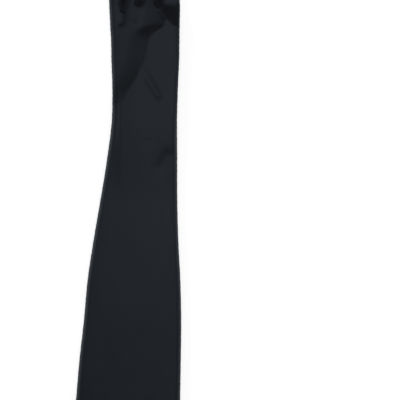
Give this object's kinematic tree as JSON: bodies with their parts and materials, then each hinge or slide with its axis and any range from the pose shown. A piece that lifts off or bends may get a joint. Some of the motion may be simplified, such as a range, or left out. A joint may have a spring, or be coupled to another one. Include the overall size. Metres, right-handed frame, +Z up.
{
  "type": "long satin glove",
  "caption": "Long dress glove for the left hand, laid flat with its back up and its thumb tucked under the palm: a flared sleeve, a hand, stalls for the fingers and an open cuff.",
  "frame": {"origin": "on the surface that the glove lies on, below the middle of its outline", "axes": "+Y from the cuff to the fingertips, +Z up through the back of the hand, +X from the little finger's side to the index finger's"},
  "size_m": [0.1319, 0.6102, 0.0178],
  "materials": {
    "satin": "black stretch satin with a soft, slightly cool sheen along the length",
    "fourchette_satin": "the same satin cut across its length, so its sheen is duller",
    "hem_satin": "the same satin turned in at the cuff and sewn, its face showing inside the mouth"
  },
  "bodies": {
    "root": {"back_panel": "satin", "palm_panel": "satin", "thumb": "satin", "fourchette_little_ring": "fourchette_satin", "fourchette_ring_middle": "fourchette_satin", "fourchette_middle_index": "fourchette_satin", "cuff_hem": "hem_satin"}
  },
  "joints": []
}
